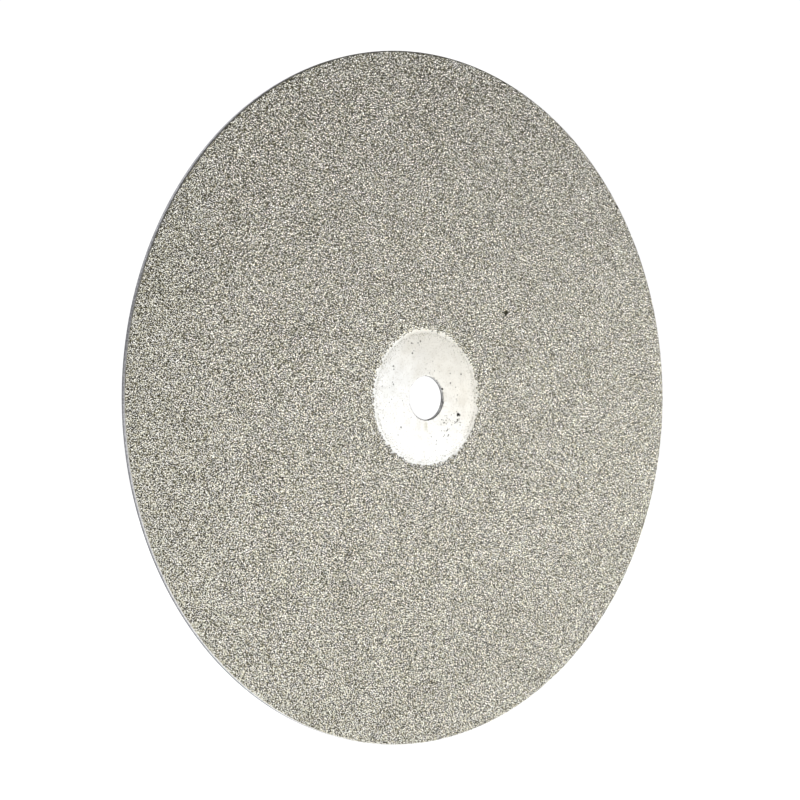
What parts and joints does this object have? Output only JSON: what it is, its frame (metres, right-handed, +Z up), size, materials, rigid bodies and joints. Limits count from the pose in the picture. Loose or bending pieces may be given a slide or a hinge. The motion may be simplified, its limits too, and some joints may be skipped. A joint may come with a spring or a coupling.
{
  "type": "diamond grinding wheel",
  "caption": "Thin round steel grinding disc with a central spindle hole, a bare centre and a ring of nickel-bonded diamond grit on its front face.",
  "frame": {"origin": "centre of the spindle hole, in the plane of the plate's flat back", "axes": "the disc stands on edge: +Y along its spin axis, out of the flat back, so the grit faces -Y; +Z up, +X to the right seen from the grit side"},
  "size_m": [0.2, 0.0015, 0.2],
  "materials": {
    "plated_steel": "satin, thinly nickel plated steel",
    "nickel": "satin electroplated nickel",
    "diamond_grains": "rough, glittering diamond grains in nickel"
  },
  "bodies": {
    "root": {"steel_plate": "plated_steel", "nickel_bond": "nickel", "diamond_grit": "diamond_grains"}
  },
  "joints": []
}
